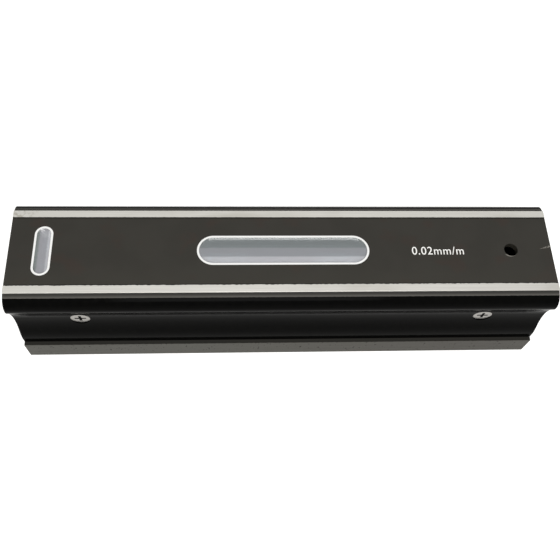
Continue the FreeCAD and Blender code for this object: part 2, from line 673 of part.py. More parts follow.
def make_clip(name, at):
    """Spring strip bent over the vial, its legs hooked under the carrier."""
    body = new_body(name)
    strip = new_sketch(body, f"{name}_strip", "YZ_Plane", at)
    inner = "(vial_dia / 2 + trough_gap)"
    draw_circle(strip, "0", "vial_high", inner)
    draw_circle(strip, "0", "vial_high", f"{inner} + clip_thick")
    add_pad(body, strip, "clip_len", midplane=True)
    below = new_sketch(body, f"{name}_below", "XY_Plane", "vial_high")
    wide = f"({inner} + 2 * clip_thick)"
    draw_box(below, f"{at} - clip_len", f"{at} + clip_len", f"0 - {wide}", wide)
    cut_pocket(body, below)
    leg = new_sketch(body, f"{name}_leg", "YZ_Plane", at)
    side = "(carrier_wide / 2 + seat_gap)"
    under = "(carrier_low - seat_gap)"
    draw_outline(leg, [(inner, "vial_high"), (side, "vial_high"), (side, under),
                       (f"{side} - clip_hook", under), (f"{side} - clip_hook", f"{under} - clip_thick"),
                       (f"{side} + clip_thick", f"{under} - clip_thick"),
                       (f"{side} + clip_thick", "vial_high + clip_thick"),
                       (inner, "vial_high + clip_thick")])
    mirror(body, add_pad(body, leg, "clip_len", midplane=True), "XZ_Plane")
    return body


def make_pivot():
    """Bracket with two cheeks, screwed to the pocket's floor, and the pin across it."""
    body = new_body("pivot_bracket")
    foot = new_sketch(body, "bracket_foot", "XY_Plane", "cavity_floor")
    draw_box(foot, "bracket_left", "pivot_at + cheek_r", "0 - cheek_out", "cheek_out")
    draw_circle(foot, *fixing_spots["bracket"], "m3_dia / 2 + thread_gap")
    add_pad(body, foot, "bracket_thick")
    cheek = new_sketch(body, "bracket_cheek", "XZ_Plane")
    draw_box(cheek, "pivot_at - cheek_r", "pivot_at + cheek_r", "cavity_floor", "pivot_high")
    add_pad(body, cheek, "2 * cheek_out", midplane=True)
    top = new_sketch(body, "bracket_round", "XZ_Plane")
    draw_circle(top, "pivot_at", "pivot_high", "cheek_r")
    add_pad(body, top, "2 * cheek_out", midplane=True)
    gap = new_sketch(body, "bracket_gap", "XY_Plane", "cavity_floor + bracket_thick")
    draw_box(gap, "pivot_at - 2 * cheek_r", "pivot_at + 2 * cheek_r", "0 - cheek_in", "cheek_in")
    cut_pocket(body, gap, reverse=True)
    hole = new_sketch(body, "bracket_hole", "XZ_Plane")
    draw_circle(hole, "pivot_at", "pivot_high", "pivot_dia / 2 + seat_gap")
    cut_pocket(body, hole, midplane=True)
    pin = new_body("pivot_pin")
    section = new_sketch(pin, "pin_section", "XZ_Plane")
    draw_circle(section, "pivot_at", "pivot_high", "pivot_dia / 2")
    add_pad(pin, section, "2 * cheek_out", midplane=True)


# ---------------------------------------------------------------- adjusting screw and spring

def make_adjuster():
    """Slotted adjusting screw with a drop of lacquer, and the spring under the arm."""
    head = "adjust_head / 2"
    shank = "adjust_dia / 2"
    body = turned("adjust_screw", [("0", "head_high"), (head, "head_high"), (head, "0"), (shank, "0"),
                                   (shank, "0 - adjust_len"), ("0", "0 - adjust_len")])
    slot = new_sketch(body, "adjust_slot", "XY_Plane", "head_high")
    draw_box(slot, f"0 - {head}", head, "0 - slot_wide / 2", "slot_wide / 2")
    cut_pocket(body, slot, "slot_deep")
    place(body, "adjust_at", "0", "arm_top + play", (Vector(0, 0, 1), measure("slot_turn")))
    seal = turned("seal_lacquer", [("0", "0"), ("seal_dia / 2", "0"), ("seal_dia / 2", "seal_high"),
                                   ("0", "seal_high")])
    place(seal, "adjust_at", "0", "arm_top + play + head_high")

    spring = doc.addObject("Part::Feature", "adjust_spring")
    spring.Label = "adjust_spring"
    half = measure("wire_wide") / 2
    coil_r = measure("coil_dia") / 2
    rise = measure("carrier_low - boss_top - wire_wide - 2 * seat_gap")
    helix = Part.makeHelix(rise / measure("coil_turns"), rise, coil_r)
    corners = [Vector(coil_r + x * half, 0, z * half) for x, z in ((-1, -1), (1, -1), (1, 1), (-1, 1))]
    section = Part.makePolygon(corners + corners[:1])
    spring.Shape = Part.Wire(helix.Edges).makePipeShell([section], True, True)
    foot = measure("boss_top + wire_wide / 2 + seat_gap")
    spring.Placement = Placement(Vector(measure("adjust_at"), 0, foot), Rotation())


# ---------------------------------------------------------------- cross vial holder

def make_holder():
    """Block with a trough across the bar, open underneath, and a foot for two screws."""
    body = new_body("cross_vial_holder")
    block = new_sketch(body, "holder_block", "XY_Plane", "cavity_floor")
    side = "(cavity_wide / 2 - holder_gap)"
    draw_box(block, "holder_left", "holder_right", f"0 - {side}", side)
    add_pad(body, block, "cvial_high - cavity_floor")
    round_corners(body, "cavity_r", "0 - holder_left", side, ends=(-1,))
    foot = new_sketch(body, "holder_foot", "XY_Plane", "cavity_floor")
    draw_box(foot, "holder_right - lap", "holder_right + foot_len", "0 - foot_wide / 2", "foot_wide / 2")
    for name in ("holder_near", "holder_far"):
        draw_circle(foot, *fixing_spots[name], "m3_dia / 2 + thread_gap")
    add_pad(body, foot, "holder_foot")
    trough = new_sketch(body, "holder_trough", "XZ_Plane")
    draw_circle(trough, "cross_at", "cvial_high", "cvial_dia / 2 + trough_gap")
    cut_pocket(body, trough, midplane=True)
    arch = new_sketch(body, "holder_arch", "YZ_Plane", "cross_at")
    draw_box(arch, "0 - m3_apart", "m3_apart", "cavity_floor + holder_foot",
             "cvial_high - cvial_dia / 2 - holder_foot")
    cut_pocket(body, arch, midplane=True)
    return body


make_casting()
make_cover()
make_window("main_window", "main_at", "main_len", "main_wide", "X")
make_window("cross_window", "cross_at", "cross_len", "cross_wide", "Y")
for x_word, x_sign in (("left", -1), ("right", 1)):
    for y_word, y_sign in (("near", -1), ("far", 1)):
        make_side_screw(f"side_screw_{y_word}_{x_word}", x_sign, y_sign)

lie_along = (Vector(0, 1, 0), 90)
lie_across = (Vector(1, 0, 0), 90)
make_vial("main_vial", "vial_dia", "vial_bore", "vial_len", "plug_len", lie_along, "main_at", "vial_high")
make_filling("main", "vial_bore", "spirit_top", "vial_len - 2 * plug_len - 2 * seat_gap", None,
             "main_at", "vial_high")
make_bubble("main", "vial_bore", "spirit_top", "bubble_len", None, "main_at", "vial_high")
make_vial("cross_vial", "cvial_dia", "cvial_bore", "cvial_len", "cplug_len", lie_across,
          "cross_at", "cvial_high")
quarter = (Vector(0, 0, 1), 90)
make_filling("cross", "cvial_bore", "cspirit_top", "cvial_len - 2 * cplug_len - 2 * seat_gap", quarter,
             "cross_at", "cvial_high")
make_bubble("cross", "cvial_bore", "cspirit_top", "cbubble_len", quarter, "cross_at", "cvial_high")

make_carrier()
make_clip("vial_clip_left", "(main_at - clip_at)")
make_clip("vial_clip_right", "(main_at + clip_at)")
make_pivot()
make_adjuster()
make_holder()
for name, (x, y) in fixing_spots.items():
    thick = "bracket_thick" if name == "bracket" else "holder_foot"
    make_fixing(f"{name}_screw", x, y, f"cavity_floor + {thick}")

doc.recompute()
failed = [item.Name for item in doc.Objects if {"Invalid", "Error"} & set(item.State)]
pieces = [item for item in doc.Objects if item.isDerivedFrom("PartDesign::Body")]
pieces.append(doc.getObject("adjust_spring"))
failed += [piece.Label for piece in pieces if piece.Shape.isNull() or not piece.Shape.isValid()]
if failed:
    raise ValueError(f"failed: {failed}")
os.makedirs("parts", exist_ok=True)
for piece in pieces:
    piece.Shape.exportStep(f"parts/{piece.Label}.step")
    print(piece.Label, len(piece.Shape.Solids), round(piece.Shape.Volume, 2))
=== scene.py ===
import math
from functools import partial

import bpy
from mathutils import Matrix, Vector


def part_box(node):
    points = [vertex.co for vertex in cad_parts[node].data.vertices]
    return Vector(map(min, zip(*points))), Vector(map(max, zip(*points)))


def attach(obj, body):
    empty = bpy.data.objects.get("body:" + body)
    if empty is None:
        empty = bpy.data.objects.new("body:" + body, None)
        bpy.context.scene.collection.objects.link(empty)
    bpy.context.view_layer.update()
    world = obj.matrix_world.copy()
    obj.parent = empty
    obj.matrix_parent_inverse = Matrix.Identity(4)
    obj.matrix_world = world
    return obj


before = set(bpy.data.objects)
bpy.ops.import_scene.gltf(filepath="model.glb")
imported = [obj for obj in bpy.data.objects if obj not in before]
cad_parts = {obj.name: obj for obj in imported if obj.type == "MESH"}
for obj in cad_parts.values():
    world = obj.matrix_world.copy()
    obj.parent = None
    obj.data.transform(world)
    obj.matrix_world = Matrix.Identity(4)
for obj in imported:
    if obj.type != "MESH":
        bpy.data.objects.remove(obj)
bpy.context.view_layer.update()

mm = 0.001  # sizes below are in millimetres, and this turns them to metres
soft = {"interpolation_type": "SMOOTHSTEP"}  # a Map Range node that starts and ends gently
colour = {"data_type": "RGBA"}  # a Mix node for colours


def linear(hexColour):
    # sRGB hex such as "3c3932" to the linear colour that the nodes work in
    parts = [int(hexColour[i:i + 2], 16) / 255 for i in (0, 2, 4)]
    return [p / 12.92 if p <= 0.04045 else ((p + 0.055) / 1.055) ** 2.4 for p in parts] + [1.0]


def addNode(tree, kind, inputs=(), gives=None, **settings):
    # One node with its settings. Each input, by its name or its place, is linked or given its value.
    # What comes back is the output that is asked for, or else the first one in use.
    node = tree.nodes.new("ShaderNode" + kind)
    for name, value in settings.items():
        setattr(node, name, value)
    for key, value in inputs.items() if isinstance(inputs, dict) else enumerate(inputs):
        socket = node.inputs[key] if isinstance(key, int) else next(
            s for s in node.inputs if s.enabled and s.name == key)
        if isinstance(value, bpy.types.NodeSocket):
            tree.links.new(value, socket)
        else:
            socket.default_value = value
    return next((s for s in node.outputs if s.enabled and gives in (None, s.name)), None)


def startMaterial(name):
    # an empty node material, what adds a node to it, and a point's place on the object in millimetres
    material = bpy.data.materials.new(name)
    material.use_nodes = True
    material.node_tree.nodes.clear()
    add = partial(addNode, material.node_tree)
    metres = add("TexCoord", gives="Object")
    place = add("VectorMath", {"Vector": metres, "Scale": 1 / mm}, operation="SCALE")
    return material, add, place


def eyeRays(add):
    # 1 for what the eye, a reflection or a glass sees, and 0 for what lights the object
    ways = [add("LightPath", gives=ray) for ray in ("Is Camera Ray", "Is Glossy Ray", "Is Transmission Ray")]
    mirrored = add("Math", ways[1:], operation="MAXIMUM")
    return add("Math", [ways[0], mirrored], operation="MAXIMUM")


def dress(material, *nodes):
    # gives CAD nodes this finish in their object's own slots
    for name in nodes:
        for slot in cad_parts[name].material_slots:
            slot.link = "OBJECT"
            slot.material = material


casting = {
    "enamelDeep": "040404", "enamelHigh": "090908",  # in the hollows of its orange peel, and on them
    "enamelRough": (0.1, 0.18),
    "enamelGloss": 0.014,                            # far under real enamel's 0.5, to keep the sides black
    "peelSize": 2.2,                                 # orange peel of thick enamel, 2 to 3 mm
    "reflectionBandTop": "343331", "reflectionBandEdge": "55534f",   # painted reflection in the gloss beside the strips, lighter towards its lower edge
    "reflectionBandFrom": 16.65, "reflectionBandLow": 43.86, "reflectionBandRough": 0.35,
    "ledge": "2c2b28", "ledgeFrom": 21.82, "ledgeHigh": 11.4,
    "steelDark": "b3b1aa", "steelPale": "d2d0ca", "steelStain": "a29e94", "steelMetal": 0.9,
    "stripFrom": 13.92, "stripLow": 44.42,
    "wanderNear": 0.75, "wanderFar": 0.18,           # how far the paint strays over each strip
    "smudgeFrom": -88, "smudgeTo": -97,              # fingerprints at the far strip's left end
    "ironDark": "403f3a", "ironPale": "504f49", "ironRightEnd": "3c3934", "ironMetal": 0.45,
    "footSide": 23.24, "footNicks": 0.8, "baseHigh": 8.2, "baseWide": 22.9, "endAt": 99.9,
    "groundRough": (0.34, 0.5),
    "grainSize": 0.25, "grainLong": 160,             # grinding marks 0.1 mm apart, drawn coarser to show
    "patchSize": 9, "nickSize": 1.1, "smudgeSize": 1.4,
    "relief": 0.012,
}


def makeCastingFinish():
    # Grey cast iron in stoved black enamel, with the strips, the sides of the foot and the base ground
    # after painting: deep black beside pale streaky metal, and a slightly ragged line between them.
    material, add, place = startMaterial("enamelledCastIron")
    x, y, z = (add("SeparateXYZ", [place], gives=axis) for axis in "XYZ")
    side = add("Math", [y], operation="ABSOLUTE")
    endways = add("Math", [x], operation="ABSOLUTE")
    nicks = add("TexNoise", {"Vector": place, "Scale": 1 / casting["nickSize"], "Detail": 5})
    ragged = add("Math", [nicks, 0.5], operation="SUBTRACT")

    # ground strips, where the paint wanders over the inner edge, more on the near one
    wander = add("MapRange", [y, 1, -1, casting["wanderFar"], casting["wanderNear"]], **soft)
    stray = add("Math", [ragged, wander], operation="MULTIPLY")
    inner = add("Math", [side, stray], operation="ADD")
    stripTop = add("MapRange", [z, casting["stripLow"], casting["stripLow"] + 0.18], **soft)
    stripIn = add("MapRange", [inner, casting["stripFrom"], casting["stripFrom"] + 0.08], **soft)
    strip = add("Math", [stripTop, stripIn], operation="MULTIPLY")

    # ground sides of the foot with nicks along their upper edge, and the base, but not the ends
    nicked = add("Math", [ragged, casting["footNicks"]], operation="MULTIPLY")
    footEdge = add("Math", [side, nicked], operation="ADD")
    footSide = add("MapRange", [footEdge, casting["footSide"], casting["footSide"] + 0.06], **soft)
    underneath = add("MapRange", [z, casting["baseHigh"] + 0.2, casting["baseHigh"]], **soft)
    inward = add("MapRange", [side, casting["baseWide"] + 0.1, casting["baseWide"]], **soft)
    base = add("Math", [underneath, inward], operation="MULTIPLY")
    notEnd = add("MapRange", [endways, casting["endAt"] + 0.08, casting["endAt"]], **soft)
    ground = add("Math", [footSide, base], operation="MAXIMUM")
    iron = add("Math", [ground, notEnd], operation="MULTIPLY")

    # bare metal: lengthways grinding marks, cloudy stains, and smudges with a little rust
    fine = 1 / casting["grainSize"]
    longways = add("Mapping", {"Vector": place, "Scale": (fine / casting["grainLong"], fine, fine)})
    grain = add("TexNoise", {"Vector": longways, "Scale": 1, "Detail": 5, "Roughness": 0.6})
    wide = 1 / casting["patchSize"]
    stretched = add("Mapping", {"Vector": place, "Scale": (wide / 3, wide, wide)})
    patches = add("TexNoise", {"Vector": stretched, "Scale": 1, "Detail": 3})
    stain = add("MapRange", [patches, 0.5, 0.75, 0, 0.35], **soft)
    smudgeEnd = add("MapRange", [x, casting["smudgeFrom"], casting["smudgeTo"]], **soft)
    farSide = add("MapRange", [y, 13, 14], **soft)
    smudgeArea = add("Math", [smudgeEnd, farSide], operation="MULTIPLY")
    dabs = add("TexNoise", {"Vector": place, "Scale": 1 / casting["smudgeSize"], "Detail": 4})
    smudgeSpots = add("MapRange", [dabs, 0.45, 0.62, 0, 0.8], **soft)
    smudge = add("Math", [smudgeArea, smudgeSpots], operation="MULTIPLY")
    dull = add("Math", [stain, smudge], operation="MAXIMUM")
    steel = add("Mix", {"Factor": grain, "A": linear(casting["steelDark"]),
                        "B": linear(casting["steelPale"])}, **colour)
    steel = add("Mix", {"Factor": dull, "A": steel, "B": linear(casting["steelStain"])}, **colour)
    ironShade = add("Mix", {"Factor": grain, "A": linear(casting["ironDark"]),
                            "B": linear(casting["ironPale"])}, **colour)
    # darker and browner towards the right-hand end
    browner = add("MapRange", [x, -60, 90, 0, 0.75], **soft)
    ironShade = add("Mix", {"Factor": browner, "A": ironShade, "B": linear(casting["ironRightEnd"])}, **colour)

    # enamel: orange peel, the painted reflection band beside the strips, and a lighter grey on the foot's
    # ledge
    peel = add("TexNoise", {"Vector": place, "Scale": 1 / casting["peelSize"], "Detail": 2})
    enamel = add("Mix", {"Factor": peel, "A": linear(casting["enamelDeep"]),
                         "B": linear(casting["enamelHigh"])}, **colour)
    # painted reflection: a band of lighter colour in the gloss beside each strip
    downwards = add("MapRange", [z, 44.35, 43.85], **soft)
    reflectionBandShade = add("Mix", {"Factor": downwards, "A": linear(casting["reflectionBandTop"]),
                              "B": linear(casting["reflectionBandEdge"])}, **colour)
    uneven = add("Math", [ragged, 0.12], operation="MULTIPLY")
    reflectionBandHeight = add("Math", [z, uneven], operation="ADD")
    reflectionBandAbove = add("MapRange", [reflectionBandHeight, casting["reflectionBandLow"] - 0.03,
                                   casting["reflectionBandLow"] + 0.03], **soft)
    reflectionBandOut = add("MapRange", [side, casting["reflectionBandFrom"], casting["reflectionBandFrom"] + 0.1], **soft)
    reflectionBand = add("Math", [reflectionBandAbove, reflectionBandOut], operation="MULTIPLY")
    enamel = add("Mix", {"Factor": reflectionBand, "A": enamel, "B": reflectionBandShade}, **colour)
    ledgeOut = add("MapRange", [side, casting["ledgeFrom"], casting["ledgeFrom"] + 0.08], **soft)
    ledgeBelow = add("MapRange", [z, casting["ledgeHigh"] + 0.1, casting["ledgeHigh"]], **soft)
    ledge = add("Math", [ledgeOut, ledgeBelow], operation="MULTIPLY")
    enamel = add("Mix", {"Factor": ledge, "A": enamel, "B": linear(casting["ledge"])}, **colour)

    shade = add("Mix", {"Factor": iron, "A": enamel, "B": ironShade}, **colour)
    shade = add("Mix", {"Factor": strip, "A": shade, "B": steel}, **colour)
    bare = add("Math", [strip, iron], operation="MAXIMUM")
    stripMetal = add("Math", [strip, casting["steelMetal"]], operation="MULTIPLY")
    ironMetal = add("Math", [iron, casting["ironMetal"]], operation="MULTIPLY")
    metal = add("Math", [stripMetal, ironMetal], operation="MAXIMUM")
    peelRough = add("MapRange", [peel, 0.3, 0.7, *casting["enamelRough"]], **soft)
    reflectionBandRough = add("Math", [reflectionBand, casting["reflectionBandRough"]], operation="MULTIPLY")
    enamelRough = add("Math", [peelRough, reflectionBandRough], operation="ADD")
    groundRough = add("MapRange", [grain, 0.2, 0.8, *casting["groundRough"]], **soft)
    rough = add("Mix", {"Factor": bare, "A": enamelRough, "B": groundRough})
    marks = add("Math", [grain, bare], operation="MULTIPLY")
    waves = add("Math", [peel, 0.5], operation="MULTIPLY")
    height = add("Math", [marks, waves], operation="ADD")
    relief = add("Bump", {"Height": height, "Distance": casting["relief"] * mm, "Strength": 1.0})
    add("OutputMaterial", {"Surface": add("BsdfPrincipled", {
        "Base Color": shade, "Metallic": metal, "Roughness": rough, "Normal": relief,
        "Specular IOR Level": casting["enamelGloss"]})})
    return material


dress(makeCastingFinish(), "body_casting")
print("casting dressed")


cover = {
    "shade": "292722", "shadePale": "2c2a25", "shadeRed": "302620", "shadeNear": "2f2d27", "edge": "171510",
    "bareSteelAndGlint": "a09c93",
    "cloudSize": 14, "redSize": 9,                            # unevenness of one pass of a spray gun
    "edgeShadeFrom": 13.35,                                        # where the painted shade of the joint with the strips begins
    "glintChipFrom": 95.2, "glintChipTo": 99.6, "glintChipY": 0.3, "glintChipSlope": 0.28, "glintChipStrength": 0.45, "glintChipSize": 0.8,
    "holeX": 84.1, "holeRadius": 2.75, "rimGlintStrength": 0.5,    # the rim that a screwdriver has rubbed, with a painted glint
    "textureSize": 0.35, "rough": (0.42, 0.5), "gloss": 0.2, "relief": 0.006,
}


def makeCoverFinish():
    # Sheet steel in satin brownish grey enamel: soft sheen, a faint cloudiness from spraying,
    # painted shade along the long edges where they meet the strips, and a small chip with a painted highlight
    # at the right-hand end.
    material, add, place = startMaterial("satinEnamel")
    x, y = (add("SeparateXYZ", [place], gives=axis) for axis in "XY")
    side = add("Math", [y], operation="ABSOLUTE")
    clouds = add("TexNoise", {"Vector": place, "Scale": 1 / cover["cloudSize"], "Detail": 2})
    cloudy = add("MapRange", [clouds, 0.35, 0.65], **soft)
    shade = add("Mix", {"Factor": cloudy, "A": linear(cover["shade"]),
                        "B": linear(cover["shadePale"])}, **colour)
    wide = 1 / cover["redSize"]
    stretched = add("Mapping", {"Vector": place, "Scale": (wide / 1.3, wide, wide)})
    reds = add("TexNoise", {"Vector": stretched, "Scale": 1, "Detail": 2})
    reddish = add("MapRange", [reds, 0.55, 0.7, 0, 0.5], **soft)
    shade = add("Mix", {"Factor": reddish, "A": shade, "B": linear(cover["shadeRed"])}, **colour)
    near = add("MapRange", [y, -4, -13, 0, 0.5], **soft)
    shade = add("Mix", {"Factor": near, "A": shade, "B": linear(cover["shadeNear"])}, **colour)
    # painted shade along the long edges, in the joint with the strips
    edge = add("MapRange", [side, cover["edgeShadeFrom"], cover["edgeShadeFrom"] + 0.25], **soft)
    shade = add("Mix", {"Factor": edge, "A": shade, "B": linear(cover["edge"])}, **colour)

    # a chip with a painted highlight: a short bright scratch that gets wider up to the right-hand edge
    ahead = add("Math", [x, cover["glintChipFrom"] + 0.3], operation="SUBTRACT")
    climb = add("Math", [ahead, cover["glintChipSlope"]], operation="MULTIPLY")
    level = add("Math", [y, climb], operation="SUBTRACT")
    offLine = add("Math", [level, cover["glintChipY"]], operation="SUBTRACT")
    away = add("Math", [offLine], operation="ABSOLUTE")
    width = add("MapRange", [x, cover["glintChipFrom"], cover["glintChipTo"], 0.02, 0.55], **soft)
    share = add("Math", [away, width], operation="DIVIDE")
    inside = add("MapRange", [share, 1, 0.5], **soft)
    flakes = add("TexNoise", {"Vector": place, "Scale": 1 / cover["glintChipSize"], "Detail": 3})
    flaked = add("MapRange", [flakes, 0.38, 0.55], **soft)
    starts = add("MapRange", [x, cover["glintChipFrom"], cover["glintChipFrom"] + 0.8], **soft)
    broken = add("Math", [flaked, starts], operation="MULTIPLY")
    glintChip = add("Math", [inside, broken], operation="MULTIPLY")
    glintChip = add("Math", [glintChip, cover["glintChipStrength"]], operation="MULTIPLY")

    # the near rim of the access hole, rubbed by a screwdriver and with a painted glint
    across = add("Math", [x, cover["holeX"]], operation="SUBTRACT")
    acrossSquare = add("Math", [across, across], operation="MULTIPLY")
    ySquare = add("Math", [y, y], operation="MULTIPLY")
    squares = add("Math", [acrossSquare, ySquare], operation="ADD")
    reach = add("Math", [squares], operation="SQRT")
    atRim = add("MapRange", [reach, cover["holeRadius"] + 0.15, cover["holeRadius"]], **soft)
    nearRim = add("MapRange", [y, -1.6, -2.3], **soft)
    rimGlint = add("Math", [atRim, nearRim], operation="MULTIPLY")
    rimGlint = add("Math", [rimGlint, cover["rimGlintStrength"]], operation="MULTIPLY")
    bare = add("Math", [glintChip, rimGlint], operation="MAXIMUM")
    shade = add("Mix", {"Factor": bare, "A": shade, "B": linear(cover["bareSteelAndGlint"])}, **colour)

    texture = add("TexNoise", {"Vector": place, "Scale": 1 / cover["textureSize"], "Detail": 3})
    satin = add("MapRange", [texture, 0.3, 0.7, *cover["rough"]], **soft)
    glintChipRough = add("Math", [glintChip, 0.1], operation="MULTIPLY")
    rough = add("Math", [satin, glintChipRough], operation="ADD")
    relief = add("Bump", {"Height": texture, "Distance": cover["relief"] * mm, "Strength": 1.0})
    add("OutputMaterial", {"Surface": add("BsdfPrincipled", {
        "Base Color": shade, "Roughness": rough, "Normal": relief, "Specular IOR Level": cover["gloss"]})})
    return material


dress(makeCoverFinish(), "cover_plate")
print("cover dressed")


def makeGrained(name, finish):
    # a metal, paint or plaster whose shade, roughness and relief follow one fine pattern
    material, add, place = startMaterial(name)
    fine = 1 / finish["size"]
    stretched = add("Mapping", {"Vector": place,
                                "Scale": [fine / s for s in finish.get("stretch", (1, 1, 1))]})
    grain = add("TexNoise", {"Vector": stretched, "Scale": 1, "Detail": 4 if finish["metal"] else 3})
    shade = add("Mix", {"Factor": grain, "A": linear(finish["dark"]), "B": linear(finish["pale"])}, **colour)
    rough = add("MapRange", [grain, 0.3, 0.7, *finish["rough"]], **soft)
    relief = add("Bump", {"Height": grain, "Distance": finish["relief"] * mm, "Strength": 1.0})
    add("OutputMaterial", {"Surface": add("BsdfPrincipled", {
        "Base Color": shade, "Metallic": finish["metal"], "Roughness": rough, "Normal": relief})})
    return material


# Polished chrome on brass: nearly white, with very faint lengthways polishing lines, drawn 0.3 mm apart.
chrome = {"dark": "f2f1ee", "pale": "fdfdfb", "size": 0.3, "stretch": (20, 1, 1), "rough": (0.08, 0.16),
          "metal": 1.0, "relief": 0.001}
dress(makeGrained("polishedChrome", chrome), "main_window_bezel", "cross_window_bezel")

# Cast plaster plugs: matt, chalky white, with pores of 0.6 mm.
plaster = {"dark": "d8d4ca", "pale": "ece9e1", "size": 0.6, "rough": (0.8, 0.95),
           "metal": 0.0, "relief": 0.03}
dress(makeGrained("plasterPlug", plaster),
      "main_vial_plug_left", "main_vial_plug_right", "cross_vial_plug_near", "cross_vial_plug_far")

# Sprayed pale grey primer: matt, cloudy every 3 mm, throws light up through the vial.
primer = {"dark": "d2d2d6", "pale": "e0e0e4", "size": 3, "rough": (0.55, 0.7), "metal": 0.0, "relief": 0.01}
dress(makeGrained("paleGreyPrimer", primer), "vial_carrier", "cross_vial_holder", "pivot_bracket")

# Zinc-plated steel: light grey, with a crystalline speckle of 0.25 mm.
zinc = {"dark": "a7a5a0", "pale": "cfcdc9", "size": 0.25, "rough": (0.34, 0.46),
        "metal": 1.0, "relief": 0.006}
dress(makeGrained("zincPlate", zinc), "holder_near_screw", "holder_far_screw", "bracket_screw", "pivot_pin")

# Rolled spring steel: darker, blued grey.
blued = {"dark": "5d5f63", "pale": "84878b", "size": 0.3, "rough": (0.3, 0.42), "metal": 1.0, "relief": 0.004}
dress(makeGrained("springSteel", blued), "vial_clip_left", "vial_clip_right", "adjust_spring")

# Turned brass adjusting screw: yellow, with marks 0.2 mm apart.
brass = {"dark": "b08d4a", "pale": "cfae6a", "size": 0.2, "stretch": (1, 1, 3), "rough": (0.28, 0.4),
         "metal": 1.0, "relief": 0.004}
dress(makeGrained("turnedBrass", brass), "adjust_screw")

# Red sealing lacquer: a glossy, uneven drop.
lacquer = {"dark": "c43a50", "pale": "e0566c", "size": 0.8, "rough": (0.12, 0.22),
           "metal": 0.0, "relief": 0.03}
dress(makeGrained("sealingLacquer", lacquer), "seal_lacquer")

sideScrew = {"dark": "8c8986", "pale": "aaa8a4", "recessShade": "0c0b0a", "recessShadeFrom": 19.13, "recessShadeTo": 19.0,
             "size": 0.3, "rough": (0.36, 0.5), "relief": 0.01}


def makeScrewFinish():
    # zinc-plated steel, with painted shade in the cross recess and round the head
    material, add, place = startMaterial("zincPlateWithPaintedShade")
    y = add("SeparateXYZ", [place], gives="Y")
    side = add("Math", [y], operation="ABSOLUTE")
    turning = add("TexNoise", {"Vector": place, "Scale": 1 / sideScrew["size"], "Detail": 4})
    recessShade = add("MapRange", [side, sideScrew["recessShadeFrom"], sideScrew["recessShadeTo"]], **soft)
    shade = add("Mix", {"Factor": turning, "A": linear(sideScrew["dark"]),
                        "B": linear(sideScrew["pale"])}, **colour)
    shade = add("Mix", {"Factor": recessShade, "A": shade, "B": linear(sideScrew["recessShade"])}, **colour)
    rough = add("MapRange", [turning, 0.3, 0.7, *sideScrew["rough"]], **soft)
    metal = add("Math", [1, recessShade], operation="SUBTRACT")
    relief = add("Bump", {"Height": turning, "Distance": sideScrew["relief"] * mm, "Strength": 1.0})
    add("OutputMaterial", {"Surface": add("BsdfPrincipled", {
        "Base Color": shade, "Metallic": metal, "Roughness": rough, "Normal": relief})})
    return material


dress(makeScrewFinish(), *[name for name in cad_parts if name.startswith("side_screw")])
print("fittings dressed")


drawing = {"streakSize": 0.6, "streakLong": 60,  # drawing lines of glass, 0.1 mm wide, drawn wider to show
           "bandEdgeSize": 0.8, "bandEdgeLong": 40, "bandEdgeWander": 0.3, "bandSoftness": 0.35}


def makeClear(name, clear, paintedRefraction=None):
    # glass, spirit or vapour: hardly tinted, with faint streaks that run along the level
    material, add, place = startMaterial(name)
    fine = 1 / drawing["streakSize"]
    longways = add("Mapping", {"Vector": place, "Scale": (fine / drawing["streakLong"], fine, fine)})
    streaks = add("TexNoise", {"Vector": longways, "Scale": 1, "Detail": 2})
    shade = add("Mix", {"Factor": streaks, "A": linear(clear["dark"]), "B": linear(clear["pale"])}, **colour)
    rough = add("MapRange", [streaks, 0.3, 0.7, 0, clear["rough"]], **soft)
    if paintedRefraction:  # painted bands of reflection and refraction across the pane, with edges that wander a little
        thin = 1 / drawing["bandEdgeSize"]
        stretched = add("Mapping", {"Vector": place, "Scale": (thin / drawing["bandEdgeLong"], thin, thin)})
        bandEdgeNoise = add("TexNoise", {"Vector": stretched, "Scale": 1, "Detail": 2})
        wander = drawing["bandEdgeWander"]
        shift = add("MapRange", [bandEdgeNoise, 0, 1, -wander, wander], clamp=False)
        across = add("SeparateXYZ", [place], gives=paintedRefraction["axis"])
        across = add("Math", [across, shift], operation="ADD")
        shade = linear(paintedRefraction["bands"][0])
        for edge, band in zip(paintedRefraction["edges"], paintedRefraction["bands"][1:]):
            low, high = edge - drawing["bandSoftness"], edge + drawing["bandSoftness"]
            blend = add("MapRange", [across, low, high], **soft)
            shade = add("Mix", {"Factor": blend, "A": shade, "B": linear(band)}, **colour)
    glass = add("BsdfPrincipled", {"Base Color": shade, "Roughness": rough, "IOR": clear["ior"],
                                   "Transmission Weight": clear["clearness"]})
    # lamps shine straight through, so that what lies behind the glass is lit
    shadowRay = add("LightPath", gives="Is Shadow Ray")
    through = add("BsdfTransparent", {"Color": linear(clear["pale"])})
    add("OutputMaterial", {"Surface": add("MixShader", [shadowRay, glass, through])})
    return material


# Float glass panes with painted milky grey bands that get paler across the window. The bands are painted
# reflection and refraction of the vial, so they are there from every side.
pane = {"dark": "f2f6f5", "pale": "fbfdfc", "rough": 0.03, "ior": 1.5, "clearness": 0.5}
mainRefraction = {"axis": "Y", "bands": ("c7c7cb", "a0a2a6", "848a8b"), "edges": (-2.15, 1.45)}
crossRefraction = {"axis": "X", "bands": ("89908f", "a9a9ae", "c7c7cb"), "edges": (-89.6, -86.6)}
dress(makeClear("refractionPaintedMainWindow", pane, mainRefraction), "main_window_pane")
dress(makeClear("refractionPaintedCrossWindow", pane, crossRefraction), "cross_window_pane")

